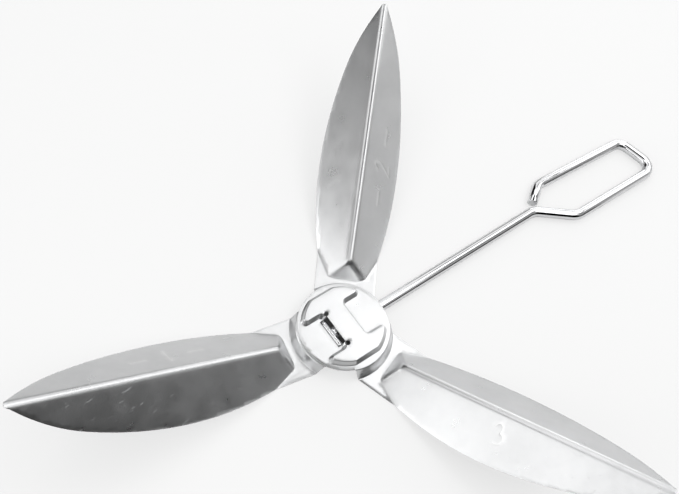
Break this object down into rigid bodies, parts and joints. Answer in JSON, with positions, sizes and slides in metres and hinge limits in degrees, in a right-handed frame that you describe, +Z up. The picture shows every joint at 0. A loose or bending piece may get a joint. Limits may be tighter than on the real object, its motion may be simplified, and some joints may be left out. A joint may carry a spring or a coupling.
{
  "type": "take-apart fluke anchor",
  "caption": "Take-apart small-boat anchor: ridged pressed-steel flukes nest on one hub, and a rod shank with an open grip loop hooks into the hub's slot by its crossbar.",
  "frame": {"origin": "on the hub discs' axis, in the plane that the anchor lies on", "axes": "+Z up, square to the hub discs, on the side where the bosses stand; +X along the shank, towards its loop; +Y completes a right-handed frame"},
  "size_m": [0.7916, 0.5793, 0.133],
  "materials": {
    "galvanised_sheet": "satin galvanised, rubbed brighter along the folds",
    "polished_rod": "polished"
  },
  "bodies": {
    "fluke_1": {"fluke_1": "galvanised_sheet"},
    "fluke_2": {"fluke_2": "galvanised_sheet"},
    "fluke_3": {"fluke_3": "galvanised_sheet"},
    "shank": {"shank_rod": "polished_rod", "shank_crossbar": "polished_rod"}
  },
  "joints": [
    {"name": "fluke_2_lift", "type": "slide", "parent": "fluke_1", "child": "fluke_2", "axis": [0, 0, 1], "range_m": [0, 0.04]},
    {"name": "fluke_3_lift", "type": "slide", "parent": "fluke_2", "child": "fluke_3", "axis": [0, 0, 1], "range_m": [0, 0.04]},
    {"name": "shank_swing", "type": "hinge", "parent": "fluke_1", "child": "shank", "pos_m": [-0.0155, 0, 0.0138], "axis": [0, 1, 0], "range_deg": [0, 90]}
  ]
}
